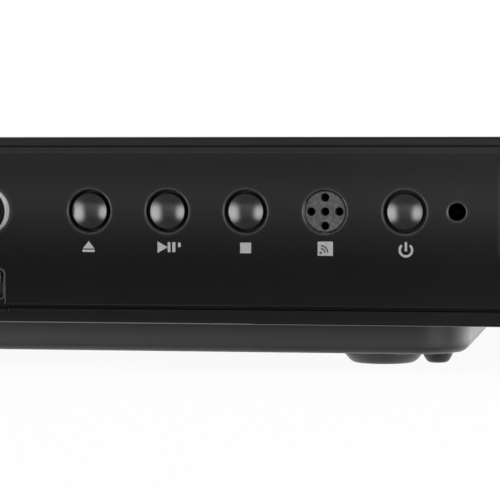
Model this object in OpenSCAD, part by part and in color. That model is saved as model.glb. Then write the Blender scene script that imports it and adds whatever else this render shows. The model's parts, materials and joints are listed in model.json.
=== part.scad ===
// Compact disc player, drawn as an assembly of separate solids
// X runs to the right seen from the front, Y runs to the back, Z runs up
// The origin lies on the table under the middle of the outline, sizes are in millimetres

/* [Overall] */
// Height of the feet
foot_h = 3; // [2:0.5:8]
// Height of the lower case seen under the front moulding
base_h = 5.45; // [4.5:0.05:9]
// Room between the disc clamp and the cover
head_room = 1.7; // [0.8:0.1:20]
// Room between the loader and the back edge of the cover
rear_room = 22.2; // [19:0.1:70]

/* [Front moulding] */
// Depth of the front moulding
bezel_depth = 14; // [13:0.5:20]
// Thickness of the moulding's outer walls
bezel_wall = 2; // [1.5:0.1:2.5]
// Thickness of the plate behind the inset panel
plate_t = 1.8; // [1.2:0.1:2.4]
// Height of the strip above the inset panel
top_strip = 1.7; // [1.2:0.1:3]
// Height of the lip below the inset panel
bottom_strip = 2.85; // [1.5:0.05:3.2]
// Width of the strip at each end of the inset panel
end_strip = 1; // [1:0.1:3]
// Thickness of the inset panel
panel_t = 1.8; // [1.2:0.1:2.4]
// Width of the groove around the inset panel
panel_gap = 0.3; // [0.2:0.05:0.8]
// Radius of the moulding's upper front edge
bezel_edge = 0.6; // [0.3:0.1:1.2]
// Radius of the moulding's upright front corners
bezel_corner = 1.5; // [0.5:0.1:3]

/* [Controls] */
// Height of the button row above the lower edge of the moulding
control_rise = 20.5; // [19:0.1:22]
// Distance between neighbouring controls
button_pitch = 14.4; // [13:0.1:15]
// Distance from the power button to the indicator light
led_step = 9.3; // [8:0.1:11]
// Distance from the indicator light to the end of the moulding
led_edge = 9.2; // [8:0.1:14]
// Distance from the eject button to the microphone socket
mic_step = 19.3; // [17:0.1:20]
// How far the data socket stands left of the microphone socket
usb_shift = 3.4; // [0:0.1:4]
// Height of the data socket above the lower edge of the moulding
usb_rise = 6.9; // [6:0.05:7.2]
// Diameter of the button holes
hole_d = 7.7; // [7.6:0.1:9]
// Diameter of the button caps
cap_d = 6.6; // [5.5:0.1:7.2]
// Height of the dome on a button cap
cap_dome = 1.2; // [0.6:0.1:1.6]
// Radius of a button cap's edge
cap_round = 0.45; // [0.2:0.05:0.6]
// How far a button cap stands out of the panel
button_proud = 1; // [0.9:0.1:2]
// Travel of a button
button_travel = 0.7; // [0.3:0.05:0.9]
// Diameter of the sensor grille
ir_d = 7.2; // [6.5:0.1:8]
// Diameter of the holes in the sensor grille
ir_hole_d = 1.55; // [1:0.05:1.8]
// Distance of the outer grille holes from the middle
ir_hole_step = 2.55; // [2.2:0.05:2.6]
// Diameter of the indicator light
led_d = 2.9; // [2.5:0.1:3.2]
// Diameter of the microphone socket's bore
mic_bore_d = 6.5; // [6.4:0.05:6.6]
// Outer diameter of the microphone socket's collar
mic_collar_d = 8.6; // [8.2:0.1:9.4]
// How far the microphone socket's collar stands out of the panel
mic_proud = 3.5; // [1:0.1:6]

/* [Drawer] */
// Distance from the left end of the moulding to the drawer front
door_margin = 12; // [10.5:0.5:40]
// Distance from the drawer front to the microphone socket
mic_gap = 14.6; // [13:0.1:40]
// How far the drawer front reaches past each side of the tray
door_over = 4; // [2:0.1:5]
// Height of the drawer front
door_h = 13; // [12:0.1:14]
// Gap around the drawer front
door_gap = 0.5; // [0.3:0.05:0.8]
// Diameter of the disc
disc_d = 120; // [108:0.5:140]
// Width of the tray beside the disc recess
tray_border = 5; // [4:0.1:10]
// Length of the tray in front of the disc recess
tray_front = 7.7; // [6:0.1:12]
// Travel of the tray
tray_travel = 132; // [116:1:150]
// Length of the tray that stays in the case when it is open
tray_hold = 33.2; // [29:0.1:50]
// Thickness of the disc tray
tray_t = 4.5; // [4:0.1:5]
// Height of the tray's underside above the case floor
tray_rise = 20.5; // [18.5:0.1:30]

/* [Case] */
// How far the lower case stands in from each end of the moulding
base_inset = 7.8; // [6.5:0.1:12]
// How far the lower case stands behind the front face
base_setback = 4; // [2:0.5:8]
// Corner radius of the lower case
base_corner = 9.5; // [4:0.5:12]
// Radius of the lower case's bottom edge
base_edge = 2; // [0.6:0.1:2.4]
// Wall thickness of the lower case
base_wall = 2; // [1.5:0.1:3]
// Floor thickness of the lower case
base_floor = 2; // [1.5:0.1:2.4]
// How far the moulding stands out beyond each side of the cover
side_reveal = 2; // [1:0.1:3]
// How far the cover stands below the moulding's top
cover_drop = 0.8; // [0.4:0.1:1.2]
// Thickness of the cover sheet
cover_t = 1; // [0.8:0.1:1.2]
// Bend radius of the cover
cover_bend = 3; // [2:0.5:5]
// Diameter of a foot
foot_d = 14.8; // [12:0.1:14.9]
// Distance from a foot to the end of the moulding
foot_edge = 24.9; // [22:0.1:30]
// Distance from a front foot to the front face
foot_y = 24; // [22:0.5:34]
// Diameter of a rubber bumper
bumper_d = 5.7; // [4.5:0.1:5.8]
// Distance from a foot to its bumper
bumper_step = 10.3; // [10.25:0.05:12]

/* [Rear sockets] */
// How far the round sockets stand out behind the cover
jack_proud = 8; // [7:0.5:10]
// Outer diameter of the round sockets
rca_d = 8.3; // [8.2:0.05:8.4]
// Distance between the round sockets
rca_pitch = 13; // [12.5:0.1:13.2]
// Height of the round sockets above the main board
rca_rise = 8; // [7:0.1:10]

/* [Clearances] */
// Gap between a shaft and its bore
shaft_gap = 0.05; // [0.03:0.01:0.08]
// Gap between a sliding piece and its guide
slide_gap = 0.3; // [0.2:0.05:0.4]
// Gap between a fixed piece and its seat
seat_gap = 0.1; // [0.05:0.01:0.15]

/* [Hidden] */
$fn = 64;

// Heights of the tray and of the disc clamp above it, counted from the table
floor_z = foot_h + base_floor;
tray_z = floor_z + tray_rise;
tray_top = tray_z + tray_t;
bridge_z = tray_top + 6;
bridge_t = 1.5;
puck_top = bridge_z + bridge_t + 1.4;

// Heights of the case
bezel_z = foot_h + base_h;
cover_top = puck_top + head_room + cover_t;
top_z = cover_top + cover_drop;
control_z = bezel_z + control_rise;
usb_z = bezel_z + usb_rise;
cover_z = bezel_z + 0.6;

// Tray, and what lies one behind the other under it
plate_back = panel_t + plate_t;
tray_gap = 0.7;
recess_r = disc_d / 2 + tray_gap;
disc_y = plate_back + tray_front + recess_r;
tray_w = disc_d + 2 * tray_border;
tray_y0 = plate_back;
tray_y1 = tray_y0 + tray_travel + tray_hold;
sled_y = disc_y + 25;
sled_travel = 33;
sled_front = 8.5;
sled_back = 13;
well_y0 = disc_y + 11;
well_y1 = sled_y + sled_travel + sled_back + 2.8;
pivot_y = well_y1 + 4;
rear_beam_y = pivot_y + 6;
frame_y1 = max(tray_y1 + 5, rear_beam_y + 18);

// Depth of the outline, the front face and the rear plate
body_d = frame_y1 + rear_room;
front_reach = max(button_proud, mic_proud);
front_y = -(body_d + jack_proud - front_reach) / 2;
rear_t = 1;
rear_in = body_d - cover_t - rear_t;

// Widths: the drawer front, the microphone socket and the controls stand side by side
door_w = tray_w + 2 * door_over;
front_w = door_margin + door_w + mic_gap + mic_step + 4 * button_pitch + led_step + led_edge;
body_w = front_w - 2 * side_reveal;
inner_w = body_w - 2 * cover_t;
base_w = front_w - 2 * base_inset;
foot_x = front_w / 2 - foot_edge;

// Places of the controls along the front
led_x = front_w / 2 - led_edge;
power_x = led_x - led_step;
ir_x = power_x - button_pitch;
stop_x = ir_x - button_pitch;
play_x = stop_x - button_pitch;
eject_x = play_x - button_pitch;
mic_x = eject_x - mic_step;
usb_x = mic_x - usb_shift;
button_xs = [eject_x, play_x, stop_x, power_x];

// Inset panel edges
panel_lo = bezel_z + bottom_strip + panel_gap;
panel_hi = top_z - top_strip - panel_gap;

// Buttons, switches and the front board
flange_t = 1.2;
flange_r = hole_d / 2 + 1.2;
stem_r = 1.5;
stem_end = plate_back + seat_gap + flange_t + 0.7;
plunger_r = 1.7;
plunger_tip = stem_end + seat_gap;
switch_y = plunger_tip + button_travel + 0.5;
switch_d = 3.5;
board_y = switch_y + switch_d;
board_t = 1.6;
board_x0 = usb_x - 9;
board_x1 = front_w / 2 - bezel_wall - 1.5;
board_lo = bezel_z + bezel_wall + 0.8;
board_hi = top_z - bezel_wall - 2.5;
post_r = 2.4;
post_xs = [mic_x + 10.5, board_x1 - 3];
post_zs = [board_lo + 3.2, board_hi - 3.2];

// Sockets on the front
mic_collar_r = mic_collar_d / 2;
mic_collar_bore = mic_bore_d / 2 + 0.3;
mic_bevel = 0.25;
mic_body_w = 12;
mic_body_h = 13;
mic_body_end = 30;
usb_w = 13.1;
usb_h = 5.7;
usb_front = 1.2;
usb_end = 15.2;
usb_shell = 0.35;
usb_tongue_half = 5.6;

// Drawer
loader_x = -front_w / 2 + door_margin + door_w / 2;
door_z = tray_z + 2.5;
recess_depth = 1.8;
small_recess_r = 40.5;
small_recess_depth = 3;
tray_hole_r = 18;
tray_slot_end = disc_y + recess_r + 2.3;

// Loader frame
rail_in = tray_w / 2 + 1;
rail_out = rail_in + 5;
rail_foot = min(rail_out, base_w / 2 - base_wall - 1 + loader_x);
frame_y0 = bezel_depth + 0.5;
frame_z0 = floor_z + 1.5;
frame_z1 = tray_top + 3;
beam_back = 39.7;
beam_top = frame_z0 + 7.5;
rear_beam_top = tray_z - 4.5;

// Lifting deck: turns about a pin at its rear, drawn level and then lowered
lift_angle = 5;
pivot_z = tray_z - 6.5;
pivot_r = 2;
deck_half = 42;
deck_z0 = tray_z - 6;
deck_t = 3;
deck_z1 = deck_z0 + deck_t;
well_half = 27;
deck_lip_half = 30;
bracket_in = deck_half + 4;
bracket_out = bracket_in + 4;
lift_pin_r = 1.4;
lift_pin_x = 20;
lift_pin_z = tray_z - 3.75;

// Cam slider in front of the deck
cam_y0 = beam_back + slide_gap;
cam_t = 2.5;
cam_left = 44;
cam_len = 70;
cam_bed_half = 48;
cam_mid = cam_y0 + cam_t / 2;
cam_z1 = tray_z - 0.5;
cam_travel = 18;
slot_r = 1.9;
cam_arm = cam_mid - pivot_y;
cam_up = lift_pin_z - pivot_z;
slot_low = pivot_z + cam_up * cos(lift_angle) + cam_arm * sin(lift_angle);
slot_high = lift_pin_z;
cam_z0 = min(frame_z0 + 3, slot_low - slot_r - 0.8);
deck_y0 = cam_y0 + cam_t + 1.5;

// Turntable, motor and pickup, drawn with the deck level
seat_z = tray_top - recess_depth + 0.8;
spindle_r = 1.5;
spindle_motor_r = 12.5;
spindle_flange_r = 15.5;
hub_r = 7.35;
table_r = 14.5;
motor_top = seat_z - 4.8;
guide_r = 1.5;
guide_x = 22;
guide_z = deck_z0 + deck_t / 2;
sled_half = 26;
nut_half = 2;
sled_z0 = deck_z0 - 1.5;
sled_z1 = tray_z - 0.5;
screw_x = -34;
screw_z = deck_z0 - 4;
screw_r = 1.5;
sled_motor_y0 = sled_y + sled_travel + nut_half + 1.5;
sled_motor_r = 4;

// Drawer drive under the tray
tooth_m = 1;
tooth_tip = 0.8;
tooth_root = 1.1;
backlash = 0.3;
gear_n = 24;
pinion_n = 16;
gear_r = gear_n * tooth_m / 2;
pinion_r = pinion_n * tooth_m / 2;
rack_x = tray_w / 2 - 11.5;
gear_x = rack_x - gear_r;
gear_y = 25;
pinion_dir = 172.5;
pinion_x = gear_x + (gear_r + pinion_r) * cos(pinion_dir);
pinion_y = gear_y + (gear_r + pinion_r) * sin(pinion_dir);
gear_t = 2.6;
gear_z0 = tray_z - slide_gap - gear_t;
rack_h = 3;
drive_post_r = 1.5;
pulley_r = 10;
pulley_z0 = gear_z0 - 5.6;
pulley_t = 3.5;
motor_x = pinion_x - 34;
motor_y = pinion_y - 2;
motor_pulley_r = 2.5;
motor_r = 8;
motor_shaft_r = 1;
belt_t = 1;
belt_h = 1.3;
belt_gap = 0.15;

// Disc clamp above the tray
bridge_half = 12;
puck_neck_r = 8.5;
puck_z0 = tray_top + 1;

// Boards in the bay beside the loader
power_x1 = base_w / 2 - base_wall - 1;
power_x0 = power_x1 - 33;
main_x0 = loader_x + rail_out + 3.5;
main_x1 = power_x0 - 1.5;
main_y0 = 45;
main_y1 = rear_in - 4;
power_y0 = 66;
power_y1 = rear_in - 4;
pcb_z = floor_z + 4;
pcb_top = pcb_z + board_t;
boss_r = 3;
main_boss = [[main_x0 + 5, main_y0 + 8], [main_x1 - 5, main_y0 + 8],
             [main_x0 + 5, main_y1 - 34], [main_x1 - 5, main_y1 - 34]];
power_boss = [[power_x0 + 5, power_y0 + 6], [power_x1 - 5, power_y0 + 6],
              [power_x0 + 5, power_y1 - 34], [power_x1 - 5, power_y1 - 34]];
loader_boss = [[-rail_in + 6, frame_y0 + 5], [rail_in - 6, frame_y0 + 5],
               [-rail_in + 6, frame_y1 - 6], [rail_in - 6, frame_y1 - 6]];

// Chips on the main board: middle, front edge, width, length and height
chips = [[0, 34, 24, 24, 1.6], [0, 66, 22, 10, 1.2], [17, 66, 6, 9, 1.8], [-18.5, 40, 7, 12, 2],
         [-3, 86, 12, 8, 1.8]];

// Capacitors on the power board: middle, place along the board, radius and height
cans = [[0, 24, 6.5, 20], [-9, 78, 4, 12], [9, 78, 4, 12]];
small_can_r = 2.5;
small_can_h = 6;

// Transformer: place along the power board, half width of core and bobbin, heights
core_y = 40;
core_half = 12;
bobbin_half = 8;
bobbin_h = 17;
core_h = 19;

// Ribbon cable between the front board and the main board
ribbon_right = 11;
ribbon_w = 16;
ribbon_t = 0.4;

// Rear sockets
rca_r = rca_d / 2;
rca_neck_r = rca_r - 0.5;
rca_bore_r = rca_r - 0.8;
rca_z = pcb_top + rca_rise;
rca_x0 = main_x0 + 9;
rca_xs = [rca_x0, rca_x0 + rca_pitch, rca_x0 + 2 * rca_pitch];
rca_depth = 12;
hdmi_x = rca_x0 + 2 * rca_pitch + 15.5;
hdmi_w = 15;
hdmi_h = 6;
hdmi_z = pcb_top + hdmi_h / 2 + 0.6;
hdmi_depth = 11;
hdmi_tongue_half = 5.6;
mains_x = (power_x0 + power_x1) / 2;
mains_z = pcb_top + 8;
mains_w = 20;
mains_h = 12;
mains_step = 4.3;
mains_r = 4.4;

// Feet and bumpers: the rounded part, how far a bumper stands forward, and the pin in a foot
bowl_h = 1.7;
foot_draw = 1.75;
bumper_draw = 1.2;
bumper_lead = 0.9;
foot_pin_r = 2;

// Lower case: how far its edge cuts overlap at a corner, the ribs and the floor vents
pan_join = 1;
rib_t = 1.5;
rib_up = 4;
rear_rib_w = 117;
floor_vent_n = 8;
floor_vent_pitch = 6;
floor_vent_w = 2.4;
floor_vent_len = 36;

// Vents in the cover's sides and in the rear plate
side_vent_y = 90;
side_vent_n = 12;
side_vent_pitch = 4.6;
side_vent_w = 2.2;
side_vent_h = 12;
rear_vent_x = 24;
rear_vent_n = 14;
rear_vent_pitch = 6;
rear_vent_w = 2.6;
rear_vent_h = 14;

// Screws on the cover
side_screw_front = 60;
side_screw_back = 46;
side_screw_ys = [side_screw_front, body_d - side_screw_back];
side_screw_z = cover_z + 7;
rear_screw_xs = [-inner_w / 2 + 12, 0, inner_w / 2 - 12];
rear_screw_z = cover_top - 5;
head_r = 2.8;
head_t = 1.5;
shank_r = 1.25;

// Helpers: places and directions
module at_front() {
    translate([0, front_y, 0]) children();
}

module at_loader() {
    translate([loader_x, front_y, 0]) children();
}

module on_deck() {
    translate([loader_x, front_y + pivot_y, pivot_z])
        rotate([lift_angle, 0, 0])
            translate([0, -pivot_y, -pivot_z])
                children();
}

module extrude_y(y0, y1) {
    translate([0, y1, 0]) rotate([90, 0, 0]) linear_extrude(y1 - y0) children();
}

module extrude_x(x0, x1) {
    translate([x0, 0, 0]) rotate([90, 0, 90]) linear_extrude(x1 - x0) children();
}

module extrude_z(z0, z1) {
    translate([0, 0, z0]) linear_extrude(z1 - z0) children();
}

module rod_y(r, y0, y1) {
    translate([0, y0, 0]) rotate([-90, 0, 0]) cylinder(r = r, h = y1 - y0);
}

module cone_y(r0, r1, y0, y1) {
    translate([0, y0, 0]) rotate([-90, 0, 0]) cylinder(r1 = r0, r2 = r1, h = y1 - y0);
}

module rod_x(r, x0, x1) {
    translate([x0, 0, 0]) rotate([0, 90, 0]) cylinder(r = r, h = x1 - x0);
}

module rod_z(r, z0, z1) {
    translate([0, 0, z0]) cylinder(r = r, h = z1 - z0);
}

module block(x0, x1, y0, y1, z0, z1) {
    translate([x0, y0, z0]) cube([x1 - x0, y1 - y0, z1 - z0]);
}

module round_rect(w, h, r) {
    square([w - 2 * r, h], center = true);
    square([w, h - 2 * r], center = true);
    for (sx = [-1, 1], sy = [-1, 1]) translate([sx * (w / 2 - r), sy * (h / 2 - r)]) circle(r);
}

function arc(cx, cy, r, a0, a1, n) =
    [for (i = [0:n]) [cx + r * cos(a0 + (a1 - a0) * i / n), cy + r * sin(a0 + (a1 - a0) * i / n)]];

// Involute teeth, angles in degrees
function inv(a) = tan(a) * 180 / PI - a;

function tooth_half(r, n) =
    (PI * tooth_m / 2 - backlash / 2) / (n * tooth_m) * 180 / PI
    + inv(20) - inv(acos(min(1, n * tooth_m / 2 * cos(20) / r)));

function flank_r(n, i) =
    n * tooth_m / 2 * cos(20) + (n * tooth_m / 2 + tooth_tip - n * tooth_m / 2 * cos(20)) * i / 4;

module gear_shape(n) {
    root = n * tooth_m / 2 - tooth_root;
    half0 = tooth_half(flank_r(n, 0), n);
    polygon([for (k = [0:n - 1]) each concat(
        [[root * cos(360 * k / n - half0), root * sin(360 * k / n - half0)]],
        [for (i = [0:4]) [flank_r(n, i) * cos(360 * k / n - tooth_half(flank_r(n, i), n)),
                          flank_r(n, i) * sin(360 * k / n - tooth_half(flank_r(n, i), n))]],
        [for (i = [4:-1:0]) [flank_r(n, i) * cos(360 * k / n + tooth_half(flank_r(n, i), n)),
                             flank_r(n, i) * sin(360 * k / n + tooth_half(flank_r(n, i), n))]],
        [[root * cos(360 * k / n + half0), root * sin(360 * k / n + half0)]])]);
}

// Front moulding: strips round the panel, a plate behind it and posts for the board
module usb_outline(extra) {
    translate([usb_x, usb_z]) round_rect(usb_w + 2 * extra, usb_h + 2 * extra, 0.9 + extra);
}

module door_outline(extra) {
    translate([loader_x, door_z]) round_rect(door_w + 2 * extra, door_h + 2 * extra, 1.2 + extra);
}

module front_bezel() {
    color([0.05, 0.05, 0.05]) at_front() difference() {
        union() {
            difference() {
                extrude_x(-front_w / 2, front_w / 2) polygon(concat(
                    arc(bezel_edge, bezel_z + bezel_edge, bezel_edge, 270, 180, 5),
                    arc(bezel_edge, top_z - bezel_edge, bezel_edge, 180, 90, 5),
                    [[bezel_depth, top_z], [bezel_depth, bezel_z]]));
                block(-front_w / 2 + bezel_wall, front_w / 2 - bezel_wall, plate_back, bezel_depth + 1,
                      bezel_z + bezel_wall, top_z - bezel_wall);
            }
            for (x = post_xs, z = post_zs) translate([x, 0, z]) rod_y(post_r, plate_back - 0.5, board_y);
        }
        panel_recess();
        for (s = [0, 1]) mirror([s, 0, 0]) extrude_z(bezel_z - 1, top_z + 1) polygon(concat(
            arc(front_w / 2 - bezel_corner, bezel_corner, bezel_corner, -90, 0, 5),
            [[front_w / 2 + 1, bezel_corner], [front_w / 2 + 1, -1], [front_w / 2 - bezel_corner, -1]]));
        extrude_y(-1, plate_back + 1) door_outline(door_gap);
        extrude_y(-1, plate_back + 1) usb_outline(0.2);
        usb_ramp();
        for (x = button_xs) translate([x, 0, control_z]) rod_y(hole_d / 2 + 0.2, 0, plate_back + 1);
        translate([ir_x, 0, control_z]) rod_y(ir_d / 2 + seat_gap, 0, plate_back + 1);
        translate([led_x, 0, control_z]) rod_y(led_d / 2 + seat_gap, 0, plate_back + 1);
        translate([mic_x, 0, control_z]) rod_y(mic_collar_r + seat_gap, 0, plate_back + 1);
        for (x = post_xs, z = post_zs) translate([x, 0, z])
            rod_y(shank_r + seat_gap, board_y - 4.5, board_y + 1);
    }
}

module panel_recess() {
    half = front_w / 2 - end_strip;
    lo = bezel_z + bottom_strip;
    hi = top_z - top_strip;
    extrude_x(-half, half) polygon([[-1, lo - 0.5], [0.12, lo - 0.5], [0.12, lo - 0.25], [0.4, lo],
        [panel_t, lo], [panel_t, hi], [0.15, hi], [-0.05, hi + 0.2], [-1, hi + 0.2]]);
}

module usb_ramp() {
    low = bezel_z + 1.9;
    extrude_x(usb_x - usb_w / 2 - 0.8, usb_x + usb_w / 2 + 0.8)
        polygon([[-1, low - 1], [panel_t - 0.2, low + panel_t - 0.2], [panel_t - 0.2, low + panel_t + 1],
                 [-1, low + panel_t + 1]]);
}

// Inset panel with chamfered holes
module panel_hole(x, r, flare) {
    translate([x, 0, control_z]) {
        rod_y(r, -1, panel_t + 1);
        cone_y(r + flare + 0.1, r, -0.1, flare);
    }
}

module front_panel() {
    half = front_w / 2 - end_strip - panel_gap;
    color([0.04, 0.04, 0.04]) at_front() difference() {
        extrude_x(-half, half) polygon([[panel_t, panel_lo], [0.25, panel_lo], [0, panel_lo + 0.25],
            [0, panel_hi - 0.75], [0.12, panel_hi - 0.75], [0.15, panel_hi], [panel_t, panel_hi]]);
        for (x = button_xs) panel_hole(x, hole_d / 2, 0.22);
        panel_hole(ir_x, ir_d / 2 + seat_gap, 0.35);
        panel_hole(led_x, led_d / 2 + seat_gap, 0.2);
        panel_hole(mic_x, mic_collar_r + seat_gap, 0.1);
        extrude_y(-1, panel_t + 1) door_outline(door_gap);
        extrude_y(-1, panel_t + 1) union() {
            usb_outline(0.2);
            translate([usb_x - usb_w / 2 - 0.2, panel_lo - 1]) square([usb_w + 0.4, usb_z - panel_lo + 1]);
        }
    }
}

// Domed push button with a rounded edge and a stop flange behind the plate
module button(x) {
    cap_r = cap_d / 2;
    ball = (cap_r * cap_r + cap_dome * cap_dome) / (2 * cap_dome);
    ball_y = ball - button_proud;
    edge_r = cap_r - cap_round;
    tilt = acos(edge_r / (ball - cap_round));
    edge_y = ball_y - (ball - cap_round) * sin(tilt);
    dome_r = ball * cos(tilt);
    dome_y = ball_y - ball * sin(tilt);
    color([0.08, 0.08, 0.08]) at_front() translate([x, 0, control_z]) union() {
        intersection() {
            translate([0, ball_y, 0]) sphere(ball);
            rod_y(dome_r, -button_proud - 1, dome_y + 0.1);
        }
        rotate([-90, 0, 0]) rotate_extrude() polygon(concat([[0, dome_y]],
            arc(edge_r, edge_y, cap_round, -tilt, 0, 5),
            [[cap_r, plate_back + seat_gap + 0.2], [0, plate_back + seat_gap + 0.2]]));
        rod_y(flange_r, plate_back + seat_gap, plate_back + seat_gap + flange_t);
        rod_y(stem_r, plate_back + seat_gap + flange_t - 0.2, stem_end);
    }
}

module plunger(x) {
    color([0.75, 0.72, 0.65]) at_front() translate([x, 0, control_z])
        rod_y(plunger_r, plunger_tip, switch_y + 1.2);
}

module tact_switches() {
    color([0.2, 0.2, 0.2]) at_front() for (x = button_xs) translate([x, 0, control_z]) difference() {
        block(-3, 3, switch_y, board_y, -3, 3);
        rod_y(plunger_r + shaft_gap, switch_y - 1, switch_y + 1.2 + button_travel + 0.3);
    }
}

module front_board() {
    color([0.1, 0.35, 0.15]) at_front() difference() {
        block(board_x0, board_x1, board_y, board_y + board_t, board_lo, board_hi);
        extrude_y(board_y - 1, board_y + board_t + 1) usb_outline(seat_gap);
        translate([mic_x, 0, control_z]) extrude_y(board_y - 1, board_y + board_t + 1)
            square([mic_body_w + 2 * seat_gap, mic_body_h + 2 * seat_gap], center = true);
        for (x = post_xs, z = post_zs) translate([x, 0, z])
            rod_y(shank_r + seat_gap, board_y - 1, board_y + board_t + 1);
    }
}

module ir_grille() {
    color([0.25, 0.25, 0.25]) at_front() translate([ir_x, 0, control_z]) difference() {
        union() {
            rod_y(ir_d / 2, 0.45, plate_back + 0.5);
            rod_y(ir_d / 2 + 1.2, plate_back, plate_back + 1);
        }
        rod_y(ir_hole_d / 2, -1, plate_back + 2);
        for (a = [0:90:270]) rotate([0, a, 0]) translate([ir_hole_step, 0, 0])
            rod_y(ir_hole_d / 2, -1, plate_back + 2);
    }
}

module ir_receiver() {
    color([0.1, 0.08, 0.1]) at_front() translate([ir_x, 0, control_z]) union() {
        block(-3.5, 3.5, plate_back + 2.4, board_y, -3.6, 3.4);
        intersection() {
            translate([0, plate_back + 3.6, 0]) sphere(2.4);
            block(-3, 3, plate_back + 1, plate_back + 2.8, -3, 3);
        }
    }
}

module power_led() {
    color([0.2, 0.1, 0.1]) at_front() translate([led_x, 0, control_z]) union() {
        translate([0, plate_back + led_d / 2 + 0.3, 0]) sphere(led_d / 2);
        rod_y(led_d / 2, plate_back + led_d / 2 + 0.3, board_y - 2.4);
        rod_y(led_d / 2 + 0.4, board_y - 3.4, board_y - 2.4);
        for (s = [-1, 1]) translate([s * 0.9, 0, 0]) rod_y(0.3, board_y - 2.6, board_y);
    }
}

// Microphone socket: collar that stands out of the panel and a body behind the plate
module mic_collar() {
    color([0.05, 0.05, 0.05]) at_front() translate([mic_x, 0, control_z]) difference() {
        union() {
            cone_y(mic_collar_r - mic_bevel, mic_collar_r, -mic_proud, -mic_proud + mic_bevel);
            rod_y(mic_collar_r, -mic_proud + mic_bevel, plate_back);
        }
        rod_y(mic_collar_bore, -mic_proud - 1, plate_back + 1);
        cone_y(mic_collar_bore + 0.5, mic_collar_bore, -mic_proud - 0.1, -mic_proud + 0.4);
    }
}

module mic_jack() {
    color([0.07, 0.07, 0.07]) at_front() translate([mic_x, 0, control_z]) difference() {
        block(-mic_body_w / 2, mic_body_w / 2, plate_back, mic_body_end, -mic_body_h / 2, mic_body_h / 2);
        rod_y(mic_bore_d / 2, plate_back - 1, mic_body_end - 3);
    }
}

module usb_socket() {
    color([0.7, 0.7, 0.7]) at_front() difference() {
        extrude_y(usb_front, usb_end) usb_outline(0);
        extrude_y(usb_front - 1, usb_end - 1) usb_outline(-usb_shell);
    }
}

module usb_tongue() {
    color([0.1, 0.1, 0.1]) at_front() union() {
        translate([usb_x, 0, usb_z])
            block(-usb_tongue_half, usb_tongue_half, usb_front + 0.8, usb_end - 1, 0.4, 2.2);
        translate([usb_x, 0, usb_z])
            block(-usb_tongue_half, usb_tongue_half, usb_end - 4, usb_end - 1, -usb_h / 2 + usb_shell, 2.2);
    }
}

// Lower case: rounded pan, flange under the cover, ribs, bosses and vents
module pan_edge(half) {
    polygon(concat([[half + 1, foot_h - 1], [half - base_edge, foot_h - 1]],
        arc(half - base_edge, foot_h + base_edge, base_edge, -90, 0, 5), [[half + 1, foot_h + base_edge]]));
}

module pan_solid() {
    half_x = base_w / 2;
    half_y = (body_d - base_setback) / 2;
    core_x = half_x - base_corner;
    core_y = half_y - base_corner;
    translate([0, (body_d + base_setback) / 2, 0]) difference() {
        extrude_z(foot_h, bezel_z) round_rect(base_w, 2 * half_y, base_corner);
        for (s = [0, 1]) mirror([s, 0, 0]) extrude_y(-core_y - pan_join, core_y + pan_join) pan_edge(half_x);
        for (s = [0, 1]) mirror([0, s, 0]) extrude_x(-core_x - pan_join, core_x + pan_join) pan_edge(half_y);
        for (sx = [0, 1], sy = [0, 1]) mirror([sx, 0, 0]) mirror([0, sy, 0])
            translate([core_x, core_y, 0]) rotate_extrude(angle = 90) pan_edge(base_corner);
    }
}

module base() {
    mid_y = (body_d + base_setback) / 2;
    color([0.09, 0.09, 0.09]) at_front() difference() {
        union() {
            difference() {
                union() {
                    pan_solid();
                    block(-body_w / 2, body_w / 2, bezel_depth + 0.2, body_d, cover_z - 1.5, cover_z);
                }
                extrude_z(floor_z, cover_z + 1) translate([0, mid_y])
                    round_rect(base_w - 2 * base_wall, body_d - base_setback - 2 * base_wall,
                               base_corner - base_wall);
            }
            for (s = [-1, 1]) side_rib(s);
            translate([-inner_w / 2 + 3, 0, 0]) block(0, rear_rib_w, rear_in - seat_gap - rib_t,
                rear_in - seat_gap, cover_z - 0.5, cover_z + rib_up);
            for (p = concat(main_boss, power_boss)) translate(p) rod_z(boss_r, floor_z - 0.5, pcb_z);
            translate([loader_x, 0, 0]) for (p = loader_boss) translate(p)
                rod_z(boss_r + 1, floor_z - 0.5, frame_z0);
        }
        for (p = concat(main_boss, power_boss)) translate(p)
            rod_z(shank_r + seat_gap, floor_z - 0.8, pcb_z + 1);
        translate([loader_x, 0, 0]) for (p = loader_boss) translate(p)
            rod_z(shank_r + seat_gap, floor_z - 0.8, frame_z0 + 1);
        for (s = [-1, 1], y = side_screw_ys) translate([0, y, side_screw_z])
            rod_x(shank_r + seat_gap, s * inner_w / 2 - 3, s * inner_w / 2 + 3);
        for (s = [-1, 1], y = [foot_y, body_d - foot_y]) translate([s * foot_x, y, 0])
            rod_z(foot_pin_r + seat_gap, foot_h - 1, floor_z + 1);
        floor_vents();
    }
}

module side_rib(s) {
    x0 = s > 0 ? inner_w / 2 - seat_gap - rib_t : -inner_w / 2 + seat_gap;
    block(x0, x0 + rib_t, bezel_depth + 1, rear_in - 2, cover_z - 0.5, cover_z + rib_up);
    for (y = side_screw_ys) block(x0, x0 + rib_t, y - 7, y + 7, cover_z, side_screw_z + 6);
}

module floor_vents() {
    for (i = [0:floor_vent_n - 1]) extrude_z(foot_h - 1, floor_z + 1)
        translate([main_x0 + 10 + floor_vent_pitch * i, main_y0 + 60])
            round_rect(floor_vent_w, floor_vent_len, floor_vent_w / 2 - 0.01);
}

module foot_shape(top_r, flat_r, height, bulge) {
    bowl = min(bowl_h, height - 0.3);
    rotate_extrude() polygon(concat([[0, 0]],
        [for (i = [0:6]) [flat_r + (top_r - flat_r) * pow(i / 6, bulge), bowl * i / 6]],
        [[top_r, height], [0, height]]));
}

module feet() {
    color([0.22, 0.22, 0.22]) at_front() for (s = [-1, 1], y = [foot_y, body_d - foot_y])
        translate([s * foot_x, y, 0]) union() {
            foot_shape(foot_d / 2, foot_d / 2 - foot_draw, foot_h, 0.7);
            rod_z(foot_pin_r, foot_h - 0.5, floor_z);
        }
}

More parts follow.
